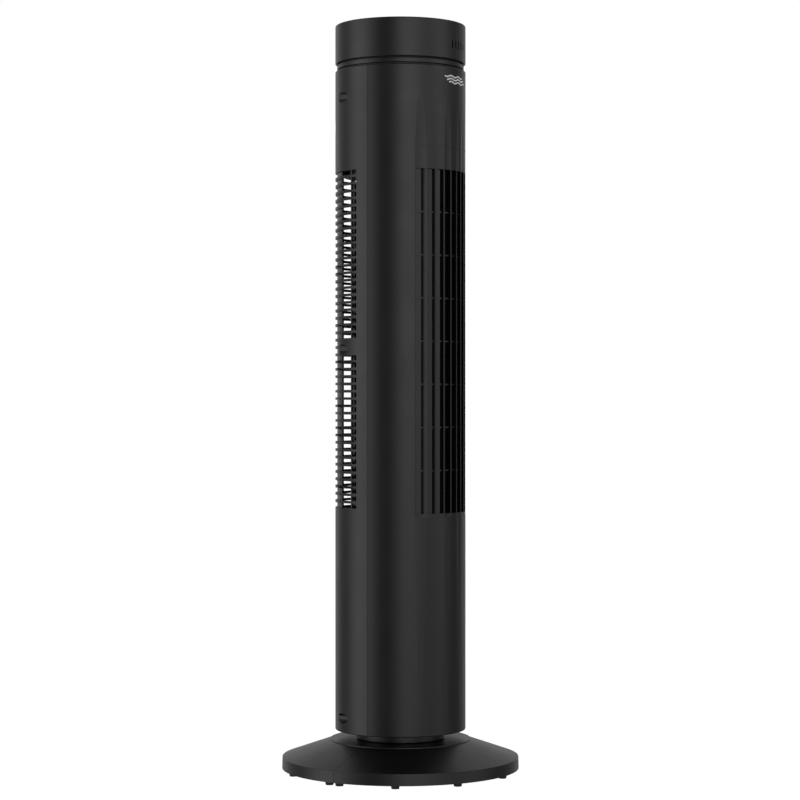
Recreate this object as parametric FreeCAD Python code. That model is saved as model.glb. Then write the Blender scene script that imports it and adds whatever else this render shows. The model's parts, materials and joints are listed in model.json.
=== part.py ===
import FreeCAD, Part
import math
import os

# Tower fan, in millimetres. Z is up, the floor is z = 0 and the column's axis is x = y = 0.
# The front, where the air comes out, faces -Y. An azimuth is counted from the front,
# positive towards +X, so 90 is the right side and 180 is the back.

# Whole object
TOTAL_H = 742.0
COLUMN_R = 65.0
COLUMN_Z0 = 41.5
COLUMN_Z1 = 696.4
WALL = 2.2
INNER_R = COLUMN_R - WALL
INSIDE_FIT_R = INNER_R - 0.4
SEAM = 0.15
COLUMN_SEAM_Y = -1.8
BASE_SEAM_Y = 2.7

# Base
BASE_R = 118.0
RIM_R = 117.7
RIM_Z0 = 3.2
RIM_Z1 = 14.6
BASE_SLOPE = 0.351
PLATEAU_R = 70.0
PLATEAU_Z = 32.3
BASE_WALL = 2.75
NECK_TUBE_R = 35.9
NECK_R = 43.7
NECK_TOP = 44.0
NUT_R = 55.3
NUT_TOP = 20.0
GROMMET_Z = 8.2
GROMMET_BORE_R = 3.1
FOOT_R = 4.4
FOOT_CIRCLE = 112.0
FOOT_AZIMUTHS_FRONT = [-89.7, -60.8, -29.0, 4.5, 33.0, 60.5, 86.7]
FOOT_AZIMUTHS_REAR = [-95.7, -128.0, -162.5, 162.5, 128.0, 93.3]

# Swing drive: the motor shaft stands off the column's axis and its crank pin runs in a radial slot
SPIGOT_R = 20.0
SPIGOT_TOP = 54.0
CRANK_OFFSET = 17.4
CRANK_R = 10.0
CRANK_PIN_R = 2.5
SLOT_CLEARANCE = 1.0
TURNTABLE_Z = 45.6
BRIDGE_Z = 66.0

# Front grille
GRILLE_Z0 = 258.5
GRILLE_Z1 = 595.0
FRONT_BAND_LEVELS = [150.0, 250.0, 330.0, 425.0, 520.0, 605.0]
GRILLE_HALF_W = 45.3
FIN_PITCH = 9.4
FIN_T = 1.7
FIN_DEPTH = 8.0
FIN_COUNT_SIDE = 4
BAR_COUNT = 7
BAR_T = 1.4
BAR_RECESS = 2.1
WEB_RECESS = 2.9
WEB_T = 1.2
WEB_SPANS = [(41.2, 45.9), (38.0, 39.7), (31.0, 36.9), (22.0, 27.5)]

# Flutes in the front shell, which fade out above and below the grille
FLUTE_TOOL_R = 50.0
FLUTE_LEVELS = [72.0, 255.0, 617.0, 670.0]

# Rear grille
SLAT_PITCH = 7.274
SLAT_T = 2.5
SLAT_Z0 = 269.0
SLAT_COUNT = 45
BAND_SLATS = 11
REAR_GRILLE_Z0 = 263.0
REAR_GRILLE_Z1 = 595.0
REAR_GRILLE_HALF_ANGLE = 80.0
BOSS_BAND_ANGLE = 55.0
BOSS_BAND_SLATS = (20, 21, 22)
STRUT_ANGLES = [10.0, 73.0]
STRUT_T = 2.0
STRUT_OUTER_R = 64.0
BACKING_ANGLES = (28.0, 56.2)
BACKING_R = 63.1
BACKING_T = 1.8

# Hand grip in the back: a bowl turned about a line along X
GRIP_Z = 641.0
GRIP_Y = 62.0
GRIP_HALF_X = 44.0
GRIP_HALF_R = 22.0
GRIP_WALL = 2.0

# Inner ledges of both shells, which grip the discs that divide the column: (lower, upper) edges
LEDGES = [(44.1, 45.5), (53.1, 54.5), (245.5, 246.9), (257.1, 258.5), (595.5, 596.9), (600.1, 601.5),
          (687.5, 688.9), (692.1, 693.5)]
LEDGE_R = 61.2

# Screws that join the two column shells
WELL_X = 55.7
WELL_LEVELS = [55.5, 419.2, 667.7]
WELL_R = 5.0
WELL_FLOOR_Y = 12.0

# Air moving parts
IMPELLER_R = 46.5
IMPELLER_Z0 = 264.0
IMPELLER_Z1 = 586.0
BLADE_COUNT = 30
BLADE_T = 1.0
BLADE_CHORD = 12.0
IMPELLER_SECTIONS = 5
SHAFT_R = 4.0
PIN_R = 3.0
DUCT_BOTTOM_Z = 254.0
DUCT_TOP_Z = 591.5
DUCT_TOP_RIM_Z = 597.0
PLATE_T = 3.0
STATOR_R = 40.0
STATOR_Z0 = 212.0
STATOR_Z1 = 236.0
MOTOR_SCREW_CIRCLE = 38.6
MOTOR_SCREW_AZIMUTHS = [45, 135, 225, 315]
MOUNT_SCREW_CIRCLE = 50.0
MOUNT_AZIMUTHS = [0, 90, 180, 270]

# Wiring between the lower compartment and the head
LOOM_R = 2.2
LOOM_AZIMUTH = -68.0
LOOM_CIRCLE = 58.0

# Head
HEAD_Z0 = 704.0
COLLAR_R = 61.0
BAND_R = 63.2
BAND_Z0 = 698.2
BAND_Z1 = 702.6
PANEL_R = 53.7
PANEL_Z0 = 738.2
PANEL_Z1 = 740.8
BOARD_Z = 724.0
BOARD_T = 1.6
BUTTON_R = 7.0
BUTTON_TRAVEL = 0.8
BUTTON_CIRCLE = 30.0
BUTTONS = {"power_button": -57.0, "speed_button": -19.0, "swing_button": 19.0, "timer_button": 57.0}
HEAD_SLOT_START = -6.3
HEAD_SLOT_PITCH = 5.0
HEAD_SLOT_HEIGHTS = [7.8, 7.8, 9.7, 7.8, 6.2]
HEAD_SLOT_W = 1.6
HEAD_SLOT_Z = 718.6

Vector = FreeCAD.Vector
ORIGIN = Vector(0, 0, 0)
UP = Vector(0, 0, 1)


# Plain shapes

def place(radius, azimuth, z=0.0):
    angle = math.radians(azimuth)
    return Vector(radius * math.sin(angle), -radius * math.cos(angle), z)


def disc(radius, z0, z1, centre=ORIGIN):
    return Part.makeCylinder(radius, z1 - z0, Vector(centre.x, centre.y, z0))


def tube(r_out, r_in, z0, z1, centre=ORIGIN):
    return disc(r_out, z0, z1, centre).cut(disc(r_in, z0 - 1, z1 + 1, centre))


def cone(r_bottom, r_top, z0, z1, centre=ORIGIN):
    return Part.makeCone(r_bottom, r_top, z1 - z0, Vector(centre.x, centre.y, z0))


def block(x0, x1, y0, y1, z0, z1):
    return Part.makeBox(x1 - x0, y1 - y0, z1 - z0, Vector(x0, y0, z0))


def rod(radius, start, end):
    run = end - start
    return Part.makeCylinder(radius, run.Length, start, run)


def sector(r_out, r_in, z0, z1, start, end):
    """Part of a ring between two azimuths."""
    wedge = Part.makeCylinder(r_out, z1 - z0, Vector(0, 0, z0), UP, end - start)
    ring = wedge.cut(disc(r_in, z0 - 1, z1 + 1))
    ring.rotate(ORIGIN, UP, start - 90)
    return ring


def lathe(outline):
    """Solid turned about Z from a closed outline of (radius, z) corners."""
    corners = [Vector(r, 0, z) for r, z in outline]
    face = Part.Face(Part.makePolygon(corners + corners[:1]))
    return face.revolve(ORIGIN, UP, 360)


def joined(shapes):
    return shapes[0].multiFuse(shapes[1:]).removeSplitter()


def joined_with_splits(shapes):
    """Same solid, but a face that runs on from one shape to the next stays divided between them."""
    return shapes[0].multiFuse(shapes[1:])


def turned(shape, angle):
    copy = shape.copy()
    copy.rotate(ORIGIN, UP, angle)
    return copy


def fillet_rings(shape, fillet, rings):
    """Round the circular edges at the given (radius, z) places."""
    picked = []
    for edge in shape.Edges:
        if not isinstance(edge.Curve, Part.Circle):
            continue
        for radius, z in rings:
            near_r = abs(edge.Curve.Radius - radius) < 0.05
            near_z = abs(edge.Curve.Center.z - z) < 0.05
            if near_r and near_z:
                picked.append(edge)
    return shape.makeFillet(fillet, picked)


def side_x(distance):
    """Offsets of one and the same thing on both sides."""
    return (-distance, distance)


def azimuth_of(x):
    """Azimuth of the point of the column's front surface that is x to the side."""
    return math.degrees(math.asin(x / COLUMN_R))


def front_half(seam_y):
    return block(-200, 200, -200, seam_y - SEAM, -10, 800)


def rear_half(seam_y):
    return block(-200, 200, seam_y + SEAM, 200, -10, 800)


def screw(head_point, direction, shank_r, shank_l, head_r, head_h):
    """Pan-head screw: its head stands on head_point and its shank runs along direction."""
    shank = rod(shank_r, head_point, head_point + direction * shank_l)
    head = rod(head_r, head_point, head_point - direction * head_h)
    return shank.fuse(head)


# Base

def cone_z(radius):
    return RIM_Z1 + BASE_SLOPE * (RIM_R - radius)


def base_core():
    """The space inside the middle of the wall of the base. Ribs and bosses are trimmed to it."""
    core_r = RIM_R - 1
    return lathe([(0, RIM_Z0), (core_r, RIM_Z0), (core_r, cone_z(core_r) - 1),
                  (PLATEAU_R - 1, cone_z(PLATEAU_R) - 1), (PLATEAU_R - 1, PLATEAU_Z - 1), (0, PLATEAU_Z - 1)])


def base_skin():
    inner_r = RIM_R - 2.5
    sleeve_r = NECK_TUBE_R + 0.2
    skin = lathe([(inner_r, RIM_Z0), (inner_r, cone_z(inner_r) - BASE_WALL),
                  (PLATEAU_R - 1, cone_z(PLATEAU_R) - BASE_WALL), (sleeve_r + 3, PLATEAU_Z - 3),
                  (sleeve_r + 3, NUT_TOP), (sleeve_r, NUT_TOP), (sleeve_r, PLATEAU_Z), (PLATEAU_R, PLATEAU_Z),
                  (PLATEAU_R, cone_z(PLATEAU_R)), (RIM_R, RIM_Z1), (BASE_R, RIM_Z0)])
    return fillet_rings(skin, 0.4, [(RIM_R, RIM_Z1), (PLATEAU_R, PLATEAU_Z)])


def base_rib(azimuth):
    rib = block(-0.9, 0.9, -114, -38, 7, 40)
    return turned(rib, azimuth)


def foot_boss(azimuth):
    return disc(5.5, RIM_Z0, 40, place(FOOT_CIRCLE, azimuth))


def foot_hole(azimuth):
    return disc(2.0, 0, 8.5, place(FOOT_CIRCLE, azimuth))


def base_half(foot_azimuths, rib_azimuths, half, joint_side):
    core = base_core()
    inner_pieces = [base_rib(a) for a in rib_azimuths]
    inner_pieces += [foot_boss(a) for a in foot_azimuths]
    for x in side_x(85):
        ends = sorted([BASE_SEAM_Y, BASE_SEAM_Y + 9 * joint_side])
        inner_pieces.append(block(x - 5, x + 5, ends[0], ends[1], 12, 40))
    trimmed = [piece.common(core).common(half) for piece in inner_pieces]
    shape = joined([base_skin().common(half)] + trimmed)
    hole_r = 1.75 if joint_side < 0 else 1.55
    holes = [foot_hole(a) for a in foot_azimuths]
    holes += [rod(hole_r, Vector(x, -15, 17), Vector(x, 15, 17)) for x in side_x(85)]
    holes += [disc(NECK_TUBE_R + 0.2, 0, 60), disc(NUT_R + 1.5, 0, NUT_TOP)]
    return shape.cut(Part.makeCompound(holes))


def base_front_half():
    return base_half(FOOT_AZIMUTHS_FRONT, [-60, -30, 0, 30, 60], front_half(BASE_SEAM_Y), -1)


def base_rear_half():
    shape = base_half(FOOT_AZIMUTHS_REAR, [-145, -115, 145, 115], rear_half(BASE_SEAM_Y), 1)
    hole = rod(GROMMET_BORE_R + 1.15, Vector(0, 90, GROMMET_Z), Vector(0, 130, GROMMET_Z))
    mouth = rod(5.05, Vector(0, 116.5, GROMMET_Z), Vector(0, 130, GROMMET_Z))
    return shape.cut(Part.makeCompound([hole, mouth]))


def base_screws():
    head_y = BASE_SEAM_Y - 9
    screws = [screw(Vector(x, head_y, 17), Vector(0, 1, 0), 1.5, 16, 3.2, 2.2) for x in side_x(85)]
    return Part.makeCompound(screws)


def rubber_feet():
    feet = []
    for azimuth in FOOT_AZIMUTHS_FRONT + FOOT_AZIMUTHS_REAR:
        centre = place(FOOT_CIRCLE, azimuth)
        pad = cone(FOOT_R - 0.7, FOOT_R, 0, RIM_Z0, centre)
        stem = disc(1.95, RIM_Z0, 7.8, centre)
        feet.append(pad.fuse(stem))
    return Part.makeCompound(feet)


def cord_grommet():
    """Rubber ring in the back of the base, which the mains lead passes through."""
    barrel = rod(GROMMET_BORE_R + 1.1, Vector(0, 111.8, GROMMET_Z), Vector(0, 117.6, GROMMET_Z))
    inner_flange = rod(4.8, Vector(0, 111.8, GROMMET_Z), Vector(0, 113.6, GROMMET_Z))
    outer_flange = rod(4.95, Vector(0, 116.6, GROMMET_Z), Vector(0, 117.6, GROMMET_Z))
    bore = rod(GROMMET_BORE_R, Vector(0, 100, GROMMET_Z), Vector(0, 130, GROMMET_Z))
    return joined([barrel, inner_flange, outer_flange]).cut(bore)


def pivot_neck():
    """Fixed neck: a tube through the base, a shoulder on it and the column's pivot spigot on top."""
    neck = lathe([(32.9, 12), (NECK_TUBE_R, 12), (NECK_TUBE_R, PLATEAU_Z), (NECK_R - 1, PLATEAU_Z),
                  (NECK_R, PLATEAU_Z + 1), (NECK_R, NECK_TOP), (SPIGOT_R, NECK_TOP),
                  (SPIGOT_R, SPIGOT_TOP), (16.5, SPIGOT_TOP), (16.5, 41), (32.9, 41)])
    screw_holes = [disc(1.05, 45, 60, place(18.25, a)) for a in (0, 180, 270)]
    return neck.cut(Part.makeCompound(screw_holes))


def locking_nut():
    ring = tube(48, NECK_TUBE_R + 0.1, 13.5, NUT_TOP)
    grips = [turned(block(-4, 4, 1 - NUT_R, -46, 13.5, NUT_TOP), a) for a in range(0, 360, 60)]
    return joined([ring] + grips)


def slide_ring():
    return tube(40, 26, NECK_TOP, TURNTABLE_Z - 0.05)


def yoke_plate():
    """Fixed plate on the spigot. It keeps the column down and its slot guides the crank pin."""
    z1 = SPIGOT_TOP + 3
    half_w = CRANK_PIN_R + SLOT_CLEARANCE
    inner_end = CRANK_OFFSET - CRANK_R - 1
    outer_end = CRANK_OFFSET + CRANK_R
    slot = joined([block(inner_end, outer_end, -half_w, half_w, 50, 60),
                   disc(half_w, 50, 60, Vector(inner_end, 0, 0)),
                   disc(half_w, 50, 60, Vector(outer_end, 0, 0))])
    cable_hole = disc(4.5, 50, 60, Vector(-9, 0, 0))
    screw_holes = [disc(1.3, 50, 60, place(18.25, a)) for a in (0, 180, 270)]
    return disc(34, SPIGOT_TOP, z1).cut(Part.makeCompound([slot, cable_hole] + screw_holes))


def yoke_screws():
    top = SPIGOT_TOP + 3
    screws = [screw(place(18.25, a, top), Vector(0, 0, -1), 1.0, 9, 2.0, 1.5) for a in (0, 180, 270)]
    return Part.makeCompound(screws)


# Column: floor and swing drive

def turntable():
    """Floor of the column, which turns on the neck's spigot."""
    floor = disc(INSIDE_FIT_R, TURNTABLE_Z, TURNTABLE_Z + PLATE_T)
    rim = tube(INSIDE_FIT_R, INSIDE_FIT_R - 2.4, TURNTABLE_Z, 53)
    hub = disc(24.5, TURNTABLE_Z, SPIGOT_TOP - 0.2)
    for_shell_bosses = [block(min(s * 48, s * 64), max(s * 48, s * 64), -18, 40, 49, 64) for s in (-1, 1)]
    holes = [disc(SPIGOT_R + 0.05, 40, 60)]
    holes += [disc(1.3, 40, 60, Vector(x, y, 0)) for x in (3, 31) for y in (-42, 42)]
    return joined([floor, rim, hub]).cut(Part.makeCompound(holes + for_shell_bosses))


def swing_bridge():
    """Sheet bridge over the yoke plate that carries the swing motor."""
    z0 = TURNTABLE_Z + PLATE_T
    top = block(-3, 37, -38, 38, BRIDGE_Z, BRIDGE_Z + 2.5)
    legs = [block(-3, 37, min(s * 35.8, s * 38), max(s * 35.8, s * 38), z0, BRIDGE_Z) for s in (-1, 1)]
    toes = [block(-3, 37, min(s * 35.8, s * 47), max(s * 35.8, s * 47), z0, z0 + 2) for s in (-1, 1)]
    holes = [disc(7.5, 60, 70, Vector(CRANK_OFFSET, 0, 0))]
    holes += [disc(1.6, 40, 60, Vector(x, y, 0)) for x in (3, 31) for y in (-42, 42)]
    holes += [disc(1.3, 60, 72, Vector(CRANK_OFFSET, y, 0)) for y in (-29, 29)]
    return joined([top] + legs + toes).cut(Part.makeCompound(holes))


def bridge_screws():
    top = TURNTABLE_Z + PLATE_T + 2
    down = Vector(0, 0, -1)
    places = [Vector(x, y, top) for x in (3, 31) for y in (-42, 42)]
    return Part.makeCompound([screw(p, down, 1.25, 4.5, 2.6, 1.8) for p in places])


def swing_motor():
    centre = Vector(CRANK_OFFSET, 0, 0)
    z0 = BRIDGE_Z + 2.5
    can = fillet_rings(disc(24.5, z0, z0 + 19, centre), 1.5, [(24.5, z0 + 19)])
    ears = block(CRANK_OFFSET - 4, CRANK_OFFSET + 4, -33, 33, z0, z0 + 1.2)
    connector = block(CRANK_OFFSET + 15, CRANK_OFFSET + 29, -7, 7, z0 + 4, z0 + 13)
    holes = [disc(3.05, 60, z0 + 5, centre)]
    holes += [disc(1.4, 60, 80, Vector(CRANK_OFFSET, y, 0)) for y in (-29, 29)]
    return joined([can, ears, connector]).cut(Part.makeCompound(holes))


def swing_motor_screws():
    top = BRIDGE_Z + 2.5 + 1.2
    places = [Vector(CRANK_OFFSET, y, top) for y in (-29, 29)]
    return Part.makeCompound([screw(p, Vector(0, 0, -1), 1.25, 6, 2.4, 1.7) for p in places])


def swing_motor_shaft():
    return disc(3.0, 60.5, BRIDGE_Z + 6, Vector(CRANK_OFFSET, 0, 0))


def swing_crank():
    hub_at = Vector(CRANK_OFFSET, 0, 0)
    pin_at = Vector(CRANK_OFFSET + CRANK_R, 0, 0)
    arm = block(hub_at.x, pin_at.x, -3.6, 3.6, 59.6, 63)
    hub = disc(6.0, 59.6, 65.4, hub_at)
    pin_head = disc(3.6, 59.6, 63, pin_at)
    pin = disc(CRANK_PIN_R, SPIGOT_TOP + 0.4, 59.6, pin_at)
    return joined([arm, hub, pin_head, pin]).cut(disc(3.0, 60.5, 70, hub_at))


# Column: shells

def column_wall():
    wall = tube(COLUMN_R, INNER_R, COLUMN_Z0, COLUMN_Z1)
    wall = fillet_rings(wall, 0.8, [(COLUMN_R, COLUMN_Z0)])
    return fillet_rings(wall, 0.9, [(COLUMN_R, COLUMN_Z1)])


def column_solid(radius=COLUMN_R):
    return disc(radius, COLUMN_Z0, COLUMN_Z1)


def ledges(half):
    rings = [tube(INNER_R + 0.5, LEDGE_R, z0, z1) for z0, z1 in LEDGES]
    return [ring.common(half) for ring in rings]


def front_fins():
    fins = []
    for k in range(-FIN_COUNT_SIDE, FIN_COUNT_SIDE + 1):
        x = k * FIN_PITCH
        depth = math.sqrt(COLUMN_R ** 2 - x ** 2) - FIN_DEPTH
        fins.append(block(x - FIN_T / 2, x + FIN_T / 2, -70, -depth, GRILLE_Z0 - 1, GRILLE_Z1 + 1))
    return fins


def front_bars():
    reach = azimuth_of(GRILLE_HALF_W) + 1
    step = (GRILLE_Z1 - GRILLE_Z0) / (BAR_COUNT + 1)
    bars = []
    for k in range(1, BAR_COUNT + 1):
        z = GRILLE_Z0 + k * step
        outer = COLUMN_R - BAR_RECESS
        bars.append(sector(outer, outer - 2.4, z - BAR_T / 2, z + BAR_T / 2, -reach, reach))
    return bars


def front_webs():
    """Thin walls that half close the outer slots on each side."""
    webs = []
    for near, far in WEB_SPANS:
        start = azimuth_of(near)
        end = azimuth_of(far)
        outer = COLUMN_R - WEB_RECESS
        webs.append(sector(outer, outer - WEB_T, GRILLE_Z0, GRILLE_Z1, start, end))
        webs.append(sector(outer, outer - WEB_T, GRILLE_Z0, GRILLE_Z1, -end, -start))
    return webs


def flute_tools():
    """Round tools that hollow the front between two neighbouring ridges, rising out at both ends."""
    ridges = [k * FIN_PITCH for k in range(-FIN_COUNT_SIDE, FIN_COUNT_SIDE + 1)]
    ridges = [-GRILLE_HALF_W - 1.4] + ridges + [GRILLE_HALF_W + 1.4]
    tools = []
    for left, right in zip(ridges, ridges[1:]):
        start = azimuth_of(left)
        end = azimuth_of(right)
        half = math.radians((end - start) / 2)
        chord_r = COLUMN_R * math.cos(half)
        reach = chord_r + math.sqrt(FLUTE_TOOL_R ** 2 - (COLUMN_R * math.sin(half)) ** 2)
        lifted = COLUMN_R + FLUTE_TOOL_R
        axis = (start + end) / 2
        shifts = [lifted, reach, reach, lifted]
        stops = [place(shift, axis, z) for shift, z in zip(shifts, FLUTE_LEVELS)]
        tools += [rod(FLUTE_TOOL_R, low, high) for low, high in zip(stops, stops[1:])]
    return tools


def front_wall_bands():
    """Front wall with the opening of its grille, in bands that keep its faces short."""
    window = block(-GRILLE_HALF_W, GRILLE_HALF_W, -70, -35, GRILLE_Z0, GRILLE_Z1)
    wall = column_wall().common(front_half(COLUMN_SEAM_Y)).cut(window)
    edges = [COLUMN_Z0 - 1] + FRONT_BAND_LEVELS + [COLUMN_Z1 + 1]
    return [wall.common(disc(COLUMN_R + 5, low, high)) for low, high in zip(edges, edges[1:])]


def front_shell():
    half = front_half(COLUMN_SEAM_Y)
    seam = COLUMN_SEAM_Y - SEAM
    grille = joined(front_fins() + front_bars() + front_webs()).common(column_solid())
    shell = joined_with_splits(front_wall_bands() + [grille])
    for tool in flute_tools():
        shell = shell.cut(tool)
    bosses = []
    holes = []
    for x in side_x(WELL_X):
        for z in WELL_LEVELS:
            boss = rod(4.2, Vector(x, -16, z), Vector(x, seam, z))
            tie = block(min(x, x * 1.13), max(x, x * 1.13), -16, seam, z - 1.5, z + 1.5)
            bosses += [boss, tie.common(column_solid(COLUMN_R - 1))]
            holes.append(rod(1.55, Vector(x, -14, z), Vector(x, 5, z)))
    return joined_with_splits([shell] + bosses + ledges(half)).cut(Part.makeCompound(holes))


def rear_slots():
    slots = []
    slat_levels = [SLAT_Z0 + k * SLAT_PITCH for k in range(SLAT_COUNT)]
    tops = [z - SLAT_T / 2 for z in slat_levels] + [REAR_GRILLE_Z1]
    bottoms = [REAR_GRILLE_Z0] + [z + SLAT_T / 2 for z in slat_levels]
    for k, (z0, z1) in enumerate(zip(bottoms, tops)):
        half = REAR_GRILLE_HALF_ANGLE
        if k in BOSS_BAND_SLATS[1:]:
            half = BOSS_BAND_ANGLE
        slots.append(sector(COLUMN_R + 1, INNER_R - 1, z0, z1, 180 - half, 180 + half))
    return slots


def rear_struts():
    """Upright bars and two broad backing strips, which tie the slats together."""
    half = math.degrees(STRUT_T / 2 / COLUMN_R)
    spans = [(angle - half, angle + half, STRUT_OUTER_R, INNER_R - 0.6) for angle in STRUT_ANGLES]
    spans.append((BACKING_ANGLES[0], BACKING_ANGLES[1], BACKING_R, BACKING_R - BACKING_T))
    z0 = REAR_GRILLE_Z0 - 2
    z1 = REAR_GRILLE_Z1 + 1.5
    struts = []
    for start, end, outer_r, inner_r in spans:
        struts.append(sector(outer_r, inner_r, z0, z1, 180 - end, 180 - start))
        struts.append(sector(outer_r, inner_r, z0, z1, 180 + start, 180 + end))
    return struts


def grip_bowl(half_x, half_r):
    """Egg shape turned about a line along X, which hollows the hand grip."""
    arc = Part.ArcOfEllipse(Part.Ellipse(ORIGIN, half_x, half_r), 0, math.pi).toShape()
    line = Part.makeLine(Vector(-half_x, 0, 0), Vector(half_x, 0, 0))
    shape = Part.Face(Part.Wire([arc, line])).revolve(ORIGIN, Vector(1, 0, 0), 360)
    shape.translate(Vector(0, GRIP_Y, GRIP_Z))
    return shape


def rear_wall_bands():
    """Slotted back wall in bands that meet at the middles of slats, with a dozen slots in each."""
    wall = column_wall().common(rear_half(COLUMN_SEAM_Y)).cut(Part.makeCompound(rear_slots()))
    edges = [SLAT_Z0 + k * SLAT_PITCH for k in range(0, SLAT_COUNT, BAND_SLATS)]
    edges = [COLUMN_Z0 - 1] + edges + [COLUMN_Z1 + 1]
    return [wall.common(disc(COLUMN_R + 5, low, high)) for low, high in zip(edges, edges[1:])]


def rear_shell():
    bowl = grip_bowl(GRIP_HALF_X + GRIP_WALL, GRIP_HALF_R + GRIP_WALL)
    pieces = rear_wall_bands() + rear_struts() + ledges(rear_half(COLUMN_SEAM_Y))
    pieces.append(bowl.common(column_solid(COLUMN_R - 1)))
    wells = []
    for x in side_x(WELL_X):
        for z in WELL_LEVELS:
            boss = rod(6.2, Vector(x, COLUMN_SEAM_Y + SEAM, z), Vector(x, 40, z))
            pieces.append(boss.common(column_solid(COLUMN_R - 0.5)))
            wells.append(rod(WELL_R, Vector(x, WELL_FLOOR_Y, z), Vector(x, 60, z)))
            wells.append(rod(1.8, Vector(x, -6, z), Vector(x, 20, z)))
    shell = joined_with_splits(pieces).cut(Part.makeCompound(wells))
    return shell.cut(grip_bowl(GRIP_HALF_X, GRIP_HALF_R))


def shell_screws():
    screws = []
    for x in side_x(WELL_X):
        for z in WELL_LEVELS:
            screws.append(screw(Vector(x, WELL_FLOOR_Y, z), Vector(0, -1, 0), 1.5, 24, 3.4, 2.4))
    return Part.makeCompound(screws)


# Column: air duct

def loom_hole():
    return disc(LOOM_R + 0.8, 0, 800, place(LOOM_CIRCLE, LOOM_AZIMUTH))


def duct_bottom():
    plate = disc(INSIDE_FIT_R, DUCT_BOTTOM_Z, DUCT_BOTTOM_Z + PLATE_T)
    rim = tube(INSIDE_FIT_R, INSIDE_FIT_R - 1.6, DUCT_BOTTOM_Z - 7, DUCT_BOTTOM_Z + PLATE_T)
    holes = [disc(11, 240, 270), loom_hole()]
    holes += [disc(1.3, 240, 270, place(MOUNT_SCREW_CIRCLE, a)) for a in MOUNT_AZIMUTHS]
    return joined([plate, rim]).cut(Part.makeCompound(holes))


def duct_top():
    """Pan whose floor closes the duct inside the grilles and whose rim is gripped above them."""
    pan_r = COLUMN_R - FIN_DEPTH - 0.3
    floor = disc(pan_r, DUCT_TOP_Z, DUCT_TOP_Z + PLATE_T)
    wall = tube(pan_r, pan_r - 2, DUCT_TOP_Z, DUCT_TOP_RIM_Z + PLATE_T)
    rim = tube(INSIDE_FIT_R, pan_r - 2, DUCT_TOP_RIM_Z, DUCT_TOP_RIM_Z + PLATE_T)
    boss = disc(17, DUCT_TOP_Z - 3, DUCT_TOP_Z + 7)
    holes = [disc(14, 580, 610), loom_hole()]
    return joined([floor, wall, rim, boss]).cut(Part.makeCompound(holes))


def curved_sheet(stops, thickness):
    """Upright duct wall through (radius, azimuth) stops, as thick as stated on its outer side."""
    z0 = DUCT_BOTTOM_Z + PLATE_T
    inner = [place(r, a, z0) for r, a in stops]
    outer = [place(r + thickness, a, z0) for r, a in stops]
    inner_curve = Part.BSplineCurve()
    inner_curve.interpolate(inner)
    outer_curve = Part.BSplineCurve()
    outer_curve.interpolate(outer)
    edges = [inner_curve.toShape(), Part.makeLine(inner[-1], outer[-1]),
             outer_curve.toShape(), Part.makeLine(outer[0], inner[0])]
    face = Part.Face(Part.Wire(Part.__sortEdges__(edges)))
    return face.extrude(Vector(0, 0, DUCT_TOP_Z - z0))


def scroll_wall():
    """Spiral wall behind the impeller on the right, which opens out to the edge of the front grille."""
    start_azimuth = 112.0
    end_azimuth = 50.5
    steps = 8
    stops = []
    for k in range(steps + 1):
        share = k / steps
        radius = 50.0 + 9.2 * share ** 1.2
        stops.append((radius, start_azimuth + (end_azimuth - start_azimuth) * share))
    sheet = curved_sheet(stops, 1.6)
    boss_notch = block(44, 70, -18, 36, 411, 428)
    return sheet.cut(boss_notch)


def tongue_wall():
    """Wall on the left whose lip stands close to the impeller and parts the two air streams."""
    return curved_sheet([(59.2, -50.5), (55.0, -56.0), (50.2, -62.0), (48.6, -69.0), (48.4, -76.0)], 1.4)


# Column: fan motor and impeller

def motor_stator():
    ring = tube(STATOR_R, 20.0, STATOR_Z0, STATOR_Z1)
    flats = [turned(block(-50, 50, -50, -STATOR_R + 1.6, 200, 250), a) for a in (0, 90, 180, 270)]
    slots = [turned(block(-4.5, 4.5, -34, -22, 200, 250), a) for a in range(0, 360, 45)]
    return ring.cut(Part.makeCompound(flats + slots + motor_screw_holes()))


def motor_windings():
    """Copper coils: a ring of wire above and below the laminations, joined through their slots."""
    coils = []
    for z in (STATOR_Z0 - 3.6, STATOR_Z1 + 3.6):
        coils.append(Part.makeTorus(28, 3.5, Vector(0, 0, z)))
    sides = [turned(block(-4.2, 4.2, -31, -25, STATOR_Z0 - 4, STATOR_Z1 + 4), a) for a in range(0, 360, 45)]
    return joined(coils + sides)


def motor_cover(flange_z, up):
    """Cup over one end of the motor with a pocket for its bush."""
    s = 1 if up else -1
    corners = [(33.5, 0), (STATOR_R + 1.6, 0), (STATOR_R + 1.6, 2), (35.5, 2), (33, 10), (10.2, 14),
               (10.2, 16), (7.0, 16), (7.0, 8.5), (10.2, 8.5), (10.2, 11.8), (31.8, 8.2)]
    return lathe([(r, flange_z + s * z) for r, z in corners])


def motor_screw_holes():
    return [disc(1.6, 200, 260, place(MOTOR_SCREW_CIRCLE, a)) for a in MOTOR_SCREW_AZIMUTHS]


def motor_upper_cover():
    return motor_cover(STATOR_Z1, True).cut(Part.makeCompound(motor_screw_holes()))


def motor_lower_cover():
    return motor_cover(STATOR_Z0, False).cut(Part.makeCompound(motor_screw_holes()))


def motor_screws():
    top = STATOR_Z1 + 2
    places = [place(MOTOR_SCREW_CIRCLE, a, top) for a in MOTOR_SCREW_AZIMUTHS]
    return Part.makeCompound([screw(p, Vector(0, 0, -1), 1.5, 30, 2.9, 2.2) for p in places])


def motor_bushes():
    upper = tube(6.95, SHAFT_R + 0.03, STATOR_Z1 + 9, STATOR_Z1 + 16)
    lower = tube(6.95, SHAFT_R + 0.03, STATOR_Z0 - 16, STATOR_Z0 - 9)
    return Part.makeCompound([upper, lower])


def motor_rotor():
    return tube(19.6, SHAFT_R, STATOR_Z0 - 1, STATOR_Z1 + 1)


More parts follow.
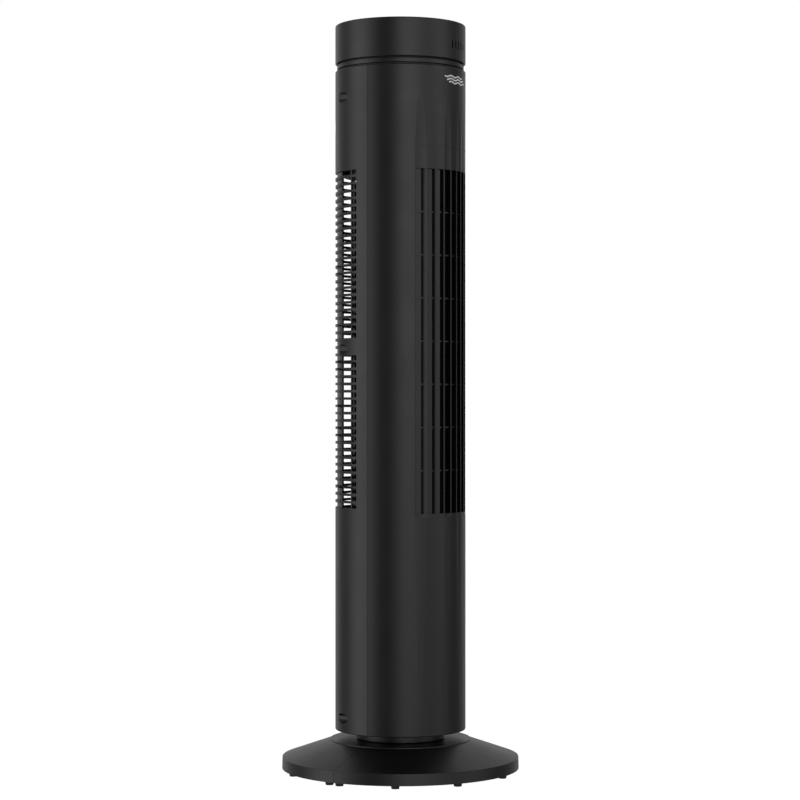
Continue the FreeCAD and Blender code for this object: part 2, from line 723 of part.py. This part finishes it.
def motor_shaft():
    return disc(SHAFT_R, STATOR_Z0 - 18, IMPELLER_Z0 + 13)


def motor_mount():
    """Sheet cradle under the duct that holds the motor by its lower flange."""
    floor_z = STATOR_Z0 - 3.4
    ring = tube(STATOR_R + 1.6, 35.9, floor_z, STATOR_Z0 - 2)
    arms = []
    for azimuth in MOUNT_AZIMUTHS:
        arm = block(-6, 6, -45.4, -STATOR_R, floor_z, STATOR_Z0 - 2)
        leg = block(-6, 6, -45.4, -44, floor_z, DUCT_BOTTOM_Z)
        toe = block(-6, 6, -54, -44, DUCT_BOTTOM_Z - 1.4, DUCT_BOTTOM_Z)
        arms += [turned(arm, azimuth), turned(leg, azimuth), turned(toe, azimuth)]
    holes = motor_screw_holes()
    holes += [disc(1.6, 240, 260, place(MOUNT_SCREW_CIRCLE, a)) for a in MOUNT_AZIMUTHS]
    return joined([ring] + arms).cut(Part.makeCompound(holes))


def mount_screws():
    bottom = DUCT_BOTTOM_Z - 1.4
    places = [place(MOUNT_SCREW_CIRCLE, a, bottom) for a in MOUNT_AZIMUTHS]
    return Part.makeCompound([screw(p, UP, 1.25, 4.0, 2.6, 1.9) for p in places])


def impeller_blade():
    """One forward-curved blade: a thin arc in plan, the height of the impeller."""
    inner_r = IMPELLER_R - BLADE_CHORD
    bow = 2.6
    ends = [place(inner_r, -4.5, 0), place(IMPELLER_R - 0.8, 4.5, 0)]
    middle = (ends[0] + ends[1]) * 0.5
    across = (ends[1] - ends[0]).cross(UP).normalize()
    edges = []
    for side in (0.0, BLADE_T):
        shift = across * side
        edges.append(Part.Arc(ends[0] + shift, middle + across * bow + shift, ends[1] + shift).toShape())
    edges.append(Part.makeLine(ends[0], ends[0] + across * BLADE_T))
    edges.append(Part.makeLine(ends[1], ends[1] + across * BLADE_T))
    face = Part.Face(Part.Wire(Part.__sortEdges__(edges)))
    blade = face.extrude(Vector(0, 0, IMPELLER_Z1 - IMPELLER_Z0 - 2))
    blade.translate(Vector(0, 0, IMPELLER_Z0 + 1))
    return blade


def impeller():
    pitch = 360.0 / BLADE_COUNT
    blade = impeller_blade()
    pieces = [turned(blade, k * pitch) for k in range(BLADE_COUNT)]
    section_h = (IMPELLER_Z1 - IMPELLER_Z0) / IMPELLER_SECTIONS
    for k in range(1, IMPELLER_SECTIONS):
        z = IMPELLER_Z0 + k * section_h
        pieces.append(tube(IMPELLER_R, IMPELLER_R - BLADE_CHORD - 1.5, z - 1, z + 1))
    pieces.append(tube(IMPELLER_R, 14, IMPELLER_Z0, IMPELLER_Z0 + 2.5))
    pieces.append(tube(18, 14, IMPELLER_Z0, IMPELLER_Z0 + 12))
    pieces.append(tube(IMPELLER_R, PIN_R, IMPELLER_Z1 - 2.5, IMPELLER_Z1))
    pieces.append(tube(8, PIN_R, IMPELLER_Z1 - 14, IMPELLER_Z1))
    return joined(pieces)


def impeller_hub():
    """Rubber boss that couples the impeller to the motor shaft."""
    return tube(14.0, SHAFT_R, IMPELLER_Z0, IMPELLER_Z0 + 12)


def impeller_pin():
    return disc(PIN_R, IMPELLER_Z1 - 14, DUCT_TOP_Z + 8)


def top_bush():
    return tube(7.0, PIN_R + 0.04, DUCT_TOP_Z - 3, DUCT_TOP_Z + 6)


def bush_cushion():
    return tube(14.0, 7.0, DUCT_TOP_Z - 3, DUCT_TOP_Z + 6)


# Column: head

def head_mount():
    """Lid of the column: its collar stands up into the head and its posts carry the circuit board."""
    plate = disc(INSIDE_FIT_R, 689, 692)
    collar = tube(COLLAR_R, 57.5, 689, 709)
    posts = [disc(3.4, 690, BOARD_Z, place(45, a)) for a in (60, 180, 300)]
    holes = [disc(1.3, BOARD_Z - 12, 740, place(45, a)) for a in (60, 180, 300)]
    return joined([plate, collar] + posts).cut(Part.makeCompound(holes + [disc(12, 680, 700)]))


def trim_ring():
    ring = tube(BAND_R, COLLAR_R + 0.05, BAND_Z0, BAND_Z1)
    return fillet_rings(ring, 0.5, [(BAND_R, BAND_Z0), (BAND_R, BAND_Z1)])


def head_slots():
    slots = []
    for k, height in enumerate(HEAD_SLOT_HEIGHTS):
        z0 = HEAD_SLOT_Z - height / 2
        slot = block(-HEAD_SLOT_W / 2, HEAD_SLOT_W / 2, -70, -60, z0, z0 + height)
        slots.append(turned(slot, HEAD_SLOT_START + k * HEAD_SLOT_PITCH))
    return slots


def head_cap():
    cap = lathe([(INNER_R, HEAD_Z0), (COLUMN_R, HEAD_Z0), (COLUMN_R, TOTAL_H), (PANEL_R + 0.3, TOTAL_H),
                 (PANEL_R + 0.3, PANEL_Z0), (PANEL_R - 3, PANEL_Z0), (PANEL_R - 3, PANEL_Z0 - 2.2),
                 (INNER_R, PANEL_Z0 - 2.2)])
    cap = fillet_rings(cap, 1.2, [(COLUMN_R, TOTAL_H)])
    cap = fillet_rings(cap, 0.7, [(COLUMN_R, HEAD_Z0), (PANEL_R + 0.3, TOTAL_H)])
    return cap.cut(Part.makeCompound(head_slots()))


def slot_window():
    """Dark strip behind the slots that lets the remote control's light through."""
    middle = HEAD_SLOT_START + HEAD_SLOT_PITCH * (len(HEAD_SLOT_HEIGHTS) - 1) / 2
    return sector(INNER_R - 0.05, COLLAR_R, HEAD_SLOT_Z - 8, HEAD_SLOT_Z + 8, middle - 16, middle + 16)


def control_panel():
    panel = disc(PANEL_R, PANEL_Z0, PANEL_Z1)
    panel = fillet_rings(panel, 0.5, [(PANEL_R, PANEL_Z1)])
    z0 = PANEL_Z0 - 1
    z1 = PANEL_Z1 + 1
    holes = [disc(BUTTON_R + 0.3, z0, z1, place(BUTTON_CIRCLE, a)) for a in BUTTONS.values()]
    holes.append(display_block(0.1, z0, z1))
    return panel.cut(Part.makeCompound(holes))


def display_block(grow, z0, z1):
    return block(-16 - grow, 16 + grow, -4 - grow, 10 + grow, z0, z1)


def display_window():
    return display_block(0, PANEL_Z0, PANEL_Z1 - 0.1)


def display_module():
    return block(-12.5, 12.5, -2, 8, BOARD_Z + BOARD_T, PANEL_Z0 - 0.4)


def control_board():
    board = disc(51, BOARD_Z, BOARD_Z + BOARD_T)
    holes = [disc(1.6, 700, 740, place(45, a)) for a in (60, 180, 300)]
    return board.cut(Part.makeCompound(holes))


def board_screws():
    top = BOARD_Z + BOARD_T
    places = [place(45, a, top) for a in (60, 180, 300)]
    return Part.makeCompound([screw(p, Vector(0, 0, -1), 1.25, 9, 2.6, 1.9) for p in places])


def tact_switches():
    switches = []
    z0 = BOARD_Z + BOARD_T
    for azimuth in BUTTONS.values():
        centre = place(BUTTON_CIRCLE, azimuth)
        body = block(centre.x - 3, centre.x + 3, centre.y - 3, centre.y + 3, z0, z0 + 3.5)
        switches.append(body.fuse(disc(1.7, z0 + 3.5, z0 + 5, centre)))
    return Part.makeCompound(switches)


def ir_receiver():
    """Remote control receiver under the board, behind the slots."""
    body = block(-3.5, 3.5, -50, -45.5, BOARD_Z - 9, BOARD_Z)
    lens = Part.makeSphere(2.2, Vector(0, -50, BOARD_Z - 4.5))
    receiver = joined([body, lens])
    return turned(receiver, 3.7)


def buzzer():
    return tube(6.0, 1.0, BOARD_Z + BOARD_T, BOARD_Z + BOARD_T + 5.5, place(34, 150))


def push_button(azimuth):
    """Round cap with a flange that stops it under the panel and a stem that presses its switch."""
    centre = place(BUTTON_CIRCLE, azimuth)
    top = PANEL_Z1 + BUTTON_TRAVEL + 0.2
    flange_z = PANEL_Z0 - 2.4
    cap = disc(BUTTON_R, flange_z, top, centre)
    cap = fillet_rings(cap, 0.6, [(BUTTON_R, top)])
    flange = disc(BUTTON_R + 1.3, flange_z, PANEL_Z0 - 0.1, centre)
    stem = disc(2.0, BOARD_Z + BOARD_T + 6, flange_z, centre)
    dish = Part.makeSphere(40, Vector(centre.x, centre.y, top + 39.6))
    return joined([cap, flange, stem]).cut(dish)


def bend(start, corner, end, radius):
    """Quarter arc that rounds the right angle at a corner, with the points where it starts and ends."""
    back = (start - corner).normalize()
    on = (end - corner).normalize()
    first = corner + back * radius
    last = corner + on * radius
    middle = corner + (back + on) * radius * (1 - math.sqrt(0.5))
    return first, Part.Arc(first, middle, last).toShape(), last


def wiring_loom():
    """Sleeved wires from the lower compartment, past the duct and up the axis to the circuit board."""
    side = place(LOOM_CIRCLE, LOOM_AZIMUTH)
    stops = [Vector(side.x * 0.3, side.y * 0.3, 110), Vector(side.x, side.y, 110),
             Vector(side.x, side.y, 676), Vector(0, 0, 676), Vector(0, 0, BOARD_Z - 5)]
    edges = []
    last = stops[0]
    for before, corner, after in zip(stops, stops[1:], stops[2:]):
        first, arc, next_last = bend(before, corner, after, 12.0)
        edges += [Part.makeLine(last, first), arc]
        last = next_last
    edges.append(Part.makeLine(last, stops[-1]))
    section = Part.Wire(Part.makeCircle(LOOM_R, stops[0], stops[1] - stops[0]))
    return Part.Wire(edges).makePipeShell([section], True, True)


def save(name, shape):
    for k, solid in enumerate(shape.Solids):
        if not solid.isValid():
            print("not valid:", name, k)
    shape.exportStep(os.path.join("parts", name + ".step"))
    print("%-22s solids %2d  faces %4d  volume %9.0f" % (name, len(shape.Solids), len(shape.Faces), shape.Volume))


def main():
    os.makedirs("parts", exist_ok=True)
    makers = [base_front_half, base_rear_half, base_screws, rubber_feet, cord_grommet, pivot_neck,
              locking_nut, slide_ring, yoke_plate, yoke_screws,
              turntable, swing_bridge, bridge_screws, swing_motor, swing_motor_screws,
              swing_motor_shaft, swing_crank,
              front_shell, rear_shell, shell_screws,
              duct_bottom, duct_top, scroll_wall, tongue_wall,
              motor_stator, motor_windings, motor_upper_cover, motor_lower_cover, motor_bushes,
              motor_screws, motor_rotor, motor_shaft, motor_mount, mount_screws,
              impeller, impeller_hub, impeller_pin, top_bush, bush_cushion,
              head_mount, trim_ring, head_cap, slot_window, control_panel, display_window,
              display_module, control_board, board_screws, tact_switches, ir_receiver, buzzer,
              wiring_loom]
    for maker in makers:
        save(maker.__name__, maker())
    for name, azimuth in BUTTONS.items():
        save(name, push_button(azimuth))


main()
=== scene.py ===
import json
import math

import bmesh
import bpy
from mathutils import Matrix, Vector


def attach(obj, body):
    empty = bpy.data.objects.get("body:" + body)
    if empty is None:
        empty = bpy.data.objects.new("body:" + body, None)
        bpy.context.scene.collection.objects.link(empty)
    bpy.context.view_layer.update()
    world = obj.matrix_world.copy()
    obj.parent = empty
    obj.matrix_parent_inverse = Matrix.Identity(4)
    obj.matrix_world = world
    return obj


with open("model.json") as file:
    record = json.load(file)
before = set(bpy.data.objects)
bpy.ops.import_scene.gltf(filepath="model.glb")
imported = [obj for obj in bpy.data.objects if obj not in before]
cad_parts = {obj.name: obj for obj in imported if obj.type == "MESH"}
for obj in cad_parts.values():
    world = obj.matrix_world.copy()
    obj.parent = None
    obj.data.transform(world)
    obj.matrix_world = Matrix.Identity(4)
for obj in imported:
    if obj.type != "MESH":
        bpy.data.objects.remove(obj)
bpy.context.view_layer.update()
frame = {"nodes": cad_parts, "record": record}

NODES = frame["nodes"]
MM = 0.001


# ---------------------------------------------------------------- camera

CAMERA_AZIMUTH = -58.3
CAMERA_DISTANCE = 2.3
CAMERA_HEIGHT = 0.3694
LENS = 103.61
SHIFT_X = -0.00055


def make_camera():
    angle = math.radians(CAMERA_AZIMUTH)
    data = bpy.data.cameras.new("camera")
    data.sensor_width = 36.0
    data.lens = LENS
    data.shift_x = SHIFT_X
    camera = bpy.data.objects.new("camera", data)
    bpy.context.scene.collection.objects.link(camera)
    place = Vector((math.sin(angle), -math.cos(angle), 0)) * CAMERA_DISTANCE
    camera.location = place + Vector((0, 0, CAMERA_HEIGHT))
    camera.rotation_euler = (math.radians(90), 0, angle)
    bpy.context.scene.camera = camera


# ---------------------------------------------------------------- studio

FLOOR_HALF = 60.0


def new_object(name, mesh):
    obj = bpy.data.objects.new(name, mesh)
    bpy.context.scene.collection.objects.link(obj)
    return obj


def make_floor():
    """White floor that glows evenly, so it has no horizon, and isn't seen in the fan's reflections."""
    mesh = bpy.data.meshes.new("floor")
    corners = [(x * FLOOR_HALF, y * FLOOR_HALF, 0) for x, y in ((-1, -1), (1, -1), (1, 1), (-1, 1))]
    mesh.from_pydata(corners, [], [(0, 1, 2, 3)])
    floor = new_object("floor", mesh)
    floor.visible_glossy = False
    floor.visible_diffuse = False
    material = bpy.data.materials.new("floor_paint")
    material.use_nodes = True
    shader = material.node_tree.nodes["Principled BSDF"]
    shader.inputs["Base Color"].default_value = (0.1, 0.1, 0.1, 1)
    shader.inputs["Roughness"].default_value = 0.9
    shader.inputs["Specular IOR Level"].default_value = 0.0
    shader.inputs["Emission Color"].default_value = (1, 1, 1, 1)
    shader.inputs["Emission Strength"].default_value = 1.0
    mesh.materials.append(material)


# Light that comes from each side at the fan's own height:
# degrees to the right of the camera, brightness
SIDE_LIGHT = [(-180, 0.47), (-150, 0.62), (-130, 0.34), (-115, 0.28), (-103, 0.45), (-93, 1.20), (-83, 1.75),
              (-74, 1.95), (-66, 1.70), (-58, 1.35), (-50, 0.90), (-42, 0.50), (-35, 0.22), (-21, 0.18),
              (-7, 0.50), (5, 0.90), (28, 0.75), (45, 0.50), (60, 0.52), (75, 0.72), (90, 0.42), (104, 0.20),
              (118, 0.20), (132, 0.27), (150, 0.45), (180, 0.47)]
# Softboxes to the right of the camera: they hang high, so their light fades towards the floor
KEY_LIGHT = [(-180, 0.0), (-18, 0.0), (-7, 0.35), (5, 1.30), (20, 1.20), (32, 0.85), (45, 0.50), (60, 0.60),
             (75, 0.80), (88, 0.40), (104, 0.0), (180, 0.0)]
# Light from above: the wall behind the fan is lit, and the ceiling over the camera is dark
HIGH_LIGHT = [(-180, 0.42), (-115, 0.40), (-60, 0.2), (60, 0.2), (115, 0.40), (180, 0.42)]
SIDE_SCALE = 2.0
# Changes of brightness with height: from and to (sines of the elevation), level at each
SIDE_FADE = (-0.25, 0.2, 0.7, 1.05)
KEY_FADE = (-0.20, 0.25, 0.0, 1.15)
HIGH_SHARE = (0.10, 0.55, 0.0, 1.0)
CEILING_SHARE = (0.7, 0.97, 0.0, 1.0)
CEILING_LIGHT = 0.4
WALL_SEEN = 1.0


class World:
    """Node tree of the studio's light, as a function of the direction it comes from."""

    def __init__(self):
        world = bpy.data.worlds.new("studio")
        bpy.context.scene.world = world
        world.use_nodes = True
        self.tree = world.node_tree
        self.tree.nodes.clear()
        parts = self.add("SeparateXYZ")
        self.link(self.add("TexCoord").outputs["Generated"], parts.inputs[0])
        x, y, z = parts.outputs
        self.height = z
        angle = math.radians(CAMERA_AZIMUTH)
        along, across = math.cos(angle), math.sin(angle)
        right = self.math("ADD", self.math("MULTIPLY", x, along), self.math("MULTIPLY", y, across))
        near = self.math("SUBTRACT", self.math("MULTIPLY", x, across), self.math("MULTIPLY", y, along))
        turn = self.math("ARCTAN2", right, near)
        self.turn = self.math("ADD", self.math("MULTIPLY", turn, 0.5 / math.pi), 0.5)

    def add(self, kind):
        return self.tree.nodes.new("ShaderNode" + kind)

    def link(self, output, target):
        self.tree.links.new(output, target)

    def math(self, operation, first, second):
        node = self.add("Math")
        node.operation = operation
        for socket, value in zip(node.inputs, (first, second)):
            if isinstance(value, float):
                socket.default_value = value
            else:
                self.link(value, socket)
        return node.outputs[0]

    def by_turn(self, stops):
        """Brightness from the degrees to the right of the camera."""
        node = self.add("ValToRGB")
        ramp = node.color_ramp
        ramp.interpolation = "LINEAR"
        while len(ramp.elements) < len(stops):
            ramp.elements.new(0.5)
        for element, (turn, level) in zip(ramp.elements, stops):
            element.position = turn / 360 + 0.5
            element.color = (level / SIDE_SCALE, level / SIDE_SCALE, level / SIDE_SCALE, 1)
        self.link(self.turn, node.inputs[0])
        return self.math("MULTIPLY", node.outputs[0], SIDE_SCALE)

    def by_height(self, low, high, level_low, level_high):
        """Smooth change of brightness between two heights (sines of the elevation)."""
        node = self.add("MapRange")
        node.interpolation_type = "SMOOTHSTEP"
        for socket, value in zip(node.inputs[1:5], (low, high, level_low, level_high)):
            socket.default_value = value
        self.link(self.height, node.inputs[0])
        return node.outputs[0]

    def background(self, strength):
        node = self.add("Background")
        node.inputs["Color"].default_value = (1, 1, 1, 1)
        if isinstance(strength, float):
            node.inputs["Strength"].default_value = strength
        else:
            self.link(strength, node.inputs["Strength"])
        return node.outputs[0]


def make_world():
    w = World()
    sides = w.math("MULTIPLY", w.by_turn(SIDE_LIGHT), w.by_height(*SIDE_FADE))
    key = w.math("MULTIPLY", w.by_turn(KEY_LIGHT), w.by_height(*KEY_FADE))
    low = w.math("ADD", sides, key)
    ceiling = w.by_height(*CEILING_SHARE)
    high = w.math("MULTIPLY", w.by_turn(HIGH_LIGHT), w.math("SUBTRACT", 1.0, ceiling))
    high = w.math("ADD", high, w.math("MULTIPLY", ceiling, CEILING_LIGHT))
    blend = w.by_height(*HIGH_SHARE)
    above = w.math("MULTIPLY", high, blend)
    below = w.math("MULTIPLY", low, w.math("SUBTRACT", 1.0, blend))
    mix = w.add("MixShader")
    w.link(w.add("LightPath").outputs["Is Camera Ray"], mix.inputs["Fac"])
    w.link(w.background(w.math("ADD", above, below)), mix.inputs[1])
    w.link(w.background(WALL_SEEN), mix.inputs[2])
    w.link(mix.outputs[0], w.add("OutputWorld").inputs["Surface"])


# ---------------------------------------------------------------- materials

class Nodes:
    """Short way to build a node tree round one Principled shader."""

    def __init__(self, name):
        self.material = bpy.data.materials.new(name)
        self.material.use_nodes = True
        self.tree = self.material.node_tree
        self.shader = self.tree.nodes["Principled BSDF"]

    def add(self, kind, **settings):
        node = self.tree.nodes.new("ShaderNode" + kind)
        for key, value in settings.items():
            if key in node.inputs:
                node.inputs[key].default_value = value
            else:
                setattr(node, key, value)
        return node

    def link(self, output, target):
        self.tree.links.new(output, target)

    def coords(self):
        return self.add("TexCoord").outputs["Object"]

    def noise(self, scale, detail=2.0, stretch=None):
        vector = self.coords()
        if stretch:
            mapping = self.add("Mapping")
            mapping.inputs["Scale"].default_value = stretch
            self.link(vector, mapping.inputs["Vector"])
            vector = mapping.outputs["Vector"]
        node = self.add("TexNoise", Scale=scale, Detail=detail)
        self.link(vector, node.inputs["Vector"])
        return node.outputs["Fac"]

    def ramp(self, value, low, high, at=(0.3, 0.7)):
        """Grey or colour running from low to high as value does."""
        node = self.add("ValToRGB")
        for element, position, level in zip(node.color_ramp.elements, at, (low, high)):
            element.position = position
            element.color = (level, level, level, 1) if isinstance(level, float) else (*level, 1)
        self.link(value, node.inputs["Fac"])
        return node.outputs["Color"]

    def bump(self, value, depth, strength=1.0, under=None):
        node = self.add("Bump", Strength=strength, Distance=depth)
        self.link(value, node.inputs["Height"])
        if under is not None:
            self.link(under, node.inputs["Normal"])
        return node.outputs["Normal"]


def moulded_plastic(name, dark, light, rough_low, rough_high, grain=0.00002, grain_scale=2600.0):
    n = Nodes(name)
    n.link(n.ramp(n.noise(9.0, 4.0), dark, light), n.shader.inputs["Base Color"])
    n.link(n.ramp(n.noise(34.0, 5.0), rough_low, rough_high), n.shader.inputs["Roughness"])
    fine = n.bump(n.noise(grain_scale, 2.0), grain)
    n.link(n.bump(n.noise(60.0, 2.0), 0.00001, under=fine), n.shader.inputs["Normal"])
    return n.material


def metal(name, dark, light, rough_low, rough_high, stretch=(1, 1, 1)):
    n = Nodes(name)
    n.shader.inputs["Metallic"].default_value = 1.0
    n.link(n.ramp(n.noise(120.0, 4.0, stretch), dark, light), n.shader.inputs["Base Color"])
    n.link(n.ramp(n.noise(400.0, 3.0, stretch), rough_low, rough_high), n.shader.inputs["Roughness"])
    n.link(n.bump(n.noise(1500.0, 2.0, stretch), 0.00001), n.shader.inputs["Normal"])
    return n.material


def smoked_lens():
    n = Nodes("smoked_lens")
    tint = n.ramp(n.noise(20.0, 2.0), (0.004, 0.003, 0.005), (0.008, 0.005, 0.007))
    n.link(tint, n.shader.inputs["Base Color"])
    n.link(n.ramp(n.noise(150.0, 3.0), 0.05, 0.12), n.shader.inputs["Roughness"])
    return n.material


def circuit_board():
    n = Nodes("circuit_board")
    traces = n.add("TexBrick", Scale=90.0)
    n.link(n.coords(), traces.inputs["Vector"])
    traces.inputs["Color1"].default_value = (0.010, 0.070, 0.025, 1)
    traces.inputs["Color2"].default_value = (0.012, 0.095, 0.032, 1)
    traces.inputs["Mortar"].default_value = (0.030, 0.170, 0.060, 1)
    n.link(traces.outputs["Color"], n.shader.inputs["Base Color"])
    n.link(n.ramp(n.noise(90.0, 2.0), 0.3, 0.45), n.shader.inputs["Roughness"])
    return n.material


MATERIALS = {
    "black_shell": moulded_plastic("black_shell", 0.0017, 0.0023, 0.31, 0.36),
    "black_base": moulded_plastic("black_base", 0.0017, 0.0023, 0.31, 0.36),
    "gloss_panel": moulded_plastic("gloss_panel", 0.003, 0.004, 0.08, 0.14, 0.000002, 300.0),
    "button_plastic": moulded_plastic("button_plastic", 0.011, 0.014, 0.36, 0.44),
    "smoked_lens": smoked_lens(),
    "black_rubber": moulded_plastic("black_rubber", 0.010, 0.014, 0.7, 0.85, 0.00004, 1500.0),
    "white_acetal": moulded_plastic("white_acetal", 0.72, 0.78, 0.32, 0.4),
    "white_print": moulded_plastic("white_print", 0.74, 0.80, 0.42, 0.5),
    "inner_plastic": moulded_plastic("inner_plastic", 0.003, 0.005, 0.45, 0.55),
    "impeller_plastic": moulded_plastic("impeller_plastic", 0.002, 0.004, 0.4, 0.5),
    "zinc_steel": metal("zinc_steel", (0.52, 0.53, 0.52), (0.66, 0.66, 0.63), 0.25, 0.42),
    "shaft_steel": metal("shaft_steel", (0.6, 0.6, 0.61), (0.7, 0.7, 0.71), 0.15, 0.28, (1, 1, 0.05)),
    "lamination_steel": metal("lamination_steel", (0.2, 0.2, 0.21), (0.32, 0.32, 0.33), 0.4, 0.6,
                              (0.05, 0.05, 6)),
    "copper_wire": metal("copper_wire", (0.52, 0.20, 0.08), (0.75, 0.36, 0.16), 0.25, 0.4, (1, 1, 4)),
    "bronze_bush": metal("bronze_bush", (0.45, 0.28, 0.12), (0.6, 0.4, 0.2), 0.4, 0.6),
    "motor_aluminium": metal("motor_aluminium", (0.55, 0.55, 0.56), (0.68, 0.68, 0.69), 0.35, 0.55),
    "circuit_board": circuit_board(),
    "component_black": moulded_plastic("component_black", 0.010, 0.016, 0.4, 0.55),
}


SMOOTH_UNDER = math.radians(32)


def smooth_curves(mesh):
    """Smooth shading on round faces, with a hard edge wherever two faces meet at an angle."""
    mesh.polygons.foreach_set("use_smooth", [True] * len(mesh.polygons))
    mesh.set_sharp_from_angle(angle=SMOOTH_UNDER)


def dress_cad():
    """Gives every CAD node its slot's material and smooth shading away from its edges."""
    slots = {part["node"]: part["material_slot"] for part in frame["record"]["subparts"]}
    for name, obj in NODES.items():
        obj.data.materials.clear()
        obj.data.materials.append(MATERIALS[slots[name]])
        smooth_curves(obj.data)


# ---------------------------------------------------------------- printed marks

COLUMN_R = 65.0
MARK_Z = 684.0
BUTTON_TOP = 741.8
BUTTON_CIRCLE = 30.0
DISH_R = 40.0
DISH_DEPTH = 0.4
PRINT_LOW = -0.05
PRINT_HIGH = 0.04


def arc(radius, start, end, steps=24, centre=(0.0, 0.0)):
    """Points of an arc, with its angles in degrees counted from straight up towards the right."""
    points = []
    for k in range(steps + 1):
        angle = math.radians(start + (end - start) * k / steps)
        points.append((centre[0] + radius * math.sin(angle), centre[1] + radius * math.cos(angle)))
    return points


def line(start, end, steps=6):
    return [(start[0] + (end[0] - start[0]) * k / steps, start[1] + (end[1] - start[1]) * k / steps)
            for k in range(steps + 1)]


def add_stroke(bm, points, width, to_world):
    """Thin closed ribbon of ink along the points, laid on the surface that to_world describes."""
    rings = []
    for k, (u, v) in enumerate(points):
        before = points[max(k - 1, 0)]
        after = points[min(k + 1, len(points) - 1)]
        du, dv = after[0] - before[0], after[1] - before[1]
        length = math.hypot(du, dv)
        nu, nv = -dv / length * width / 2, du / length * width / 2
        corners = [(u + nu, v + nv, PRINT_LOW), (u - nu, v - nv, PRINT_LOW),
                   (u - nu, v - nv, PRINT_HIGH), (u + nu, v + nv, PRINT_HIGH)]
        rings.append([bm.verts.new(to_world(*corner)) for corner in corners])
    for first, second in zip(rings, rings[1:]):
        for k in range(4):
            following = (k + 1) % 4
            bm.faces.new((first[k], first[following], second[following], second[k]))
    bm.faces.new(rings[0][::-1])
    bm.faces.new(rings[-1])


def printed(name, strokes, width, to_world, body):
    bm = bmesh.new()
    for points in strokes:
        add_stroke(bm, points, width, to_world)
    bmesh.ops.recalc_face_normals(bm, faces=bm.faces)
    mesh = bpy.data.meshes.new(name)
    bm.to_mesh(mesh)
    bm.free()
    piece = new_object(name, mesh)
    piece.data.materials.append(MATERIALS["white_print"])
    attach(piece, body)
    return piece


def on_column(u, v, height):
    """A place on the front of the column: u millimetres round it and v above the middle of the mark."""
    radius = COLUMN_R + height
    angle = u / COLUMN_R
    return Vector((radius * math.sin(angle), -radius * math.cos(angle), MARK_Z + v)) * MM


def on_button(azimuth):
    angle = math.radians(azimuth)
    centre_x = BUTTON_CIRCLE * math.sin(angle)
    centre_y = -BUTTON_CIRCLE * math.cos(angle)

    def to_world(u, v, height):
        dish = BUTTON_TOP + DISH_R - DISH_DEPTH - math.sqrt(DISH_R ** 2 - u ** 2 - v ** 2)
        return Vector((centre_x + u, centre_y + v, dish + height)) * MM

    return to_world


def airflow_mark():
    """Three wavy lines of moving air on the front, below the trim ring."""
    strokes = []
    for level, start, end in ((2.9, -18.5, 12.5), (0.0, -15.5, 15.5), (-2.9, -12.5, 18.5)):
        points = []
        for k in range(61):
            u = start + (end - start) * k / 60
            points.append((u, level + 0.75 * math.sin(u * math.tau / 12.5)))
        strokes.append(points)
    printed("mark_airflow", strokes, 1.35, on_column, "column")


def power_icon():
    return [arc(2.7, 35, 325, 40), line((0, 3.5), (0, 0.7))]


def speed_icon():
    return [line((x, -2.3), (x, top)) for x, top in ((-2.4, -0.9), (-0.8, 0.2), (0.8, 1.3), (2.4, 2.4))]


def swing_icon():
    reach = 3.1
    tip_x = reach * math.sin(math.radians(60))
    tip_y = reach * math.cos(math.radians(60)) - 1.2
    strokes = [arc(reach, -60, 60, 24, (0, -1.2))]
    for side in (-1, 1):
        tip = (side * tip_x, tip_y)
        strokes.append(line(tip, (side * (tip_x - 1.5), tip_y - 0.1), 3))
        strokes.append(line(tip, (side * (tip_x + 0.1), tip_y + 1.5), 3))
    return strokes


def timer_icon():
    return [arc(2.9, 0, 360, 40), line((0, 1.8), (0, 0), 4), line((0, 0), (1.4, -0.9), 4)]


ICONS = {"power_button": (-57.0, power_icon), "speed_button": (-19.0, speed_icon),
         "swing_button": (19.0, swing_icon), "timer_button": (57.0, timer_icon)}


def make_prints():
    airflow_mark()
    for body, (azimuth, icon) in ICONS.items():
        printed("icon_" + body.split("_")[0], icon(), 0.62, on_button(azimuth), body)


make_camera()
make_floor()
make_world()
dress_cad()
make_prints()
bpy.context.scene.view_settings.view_transform = "Standard"
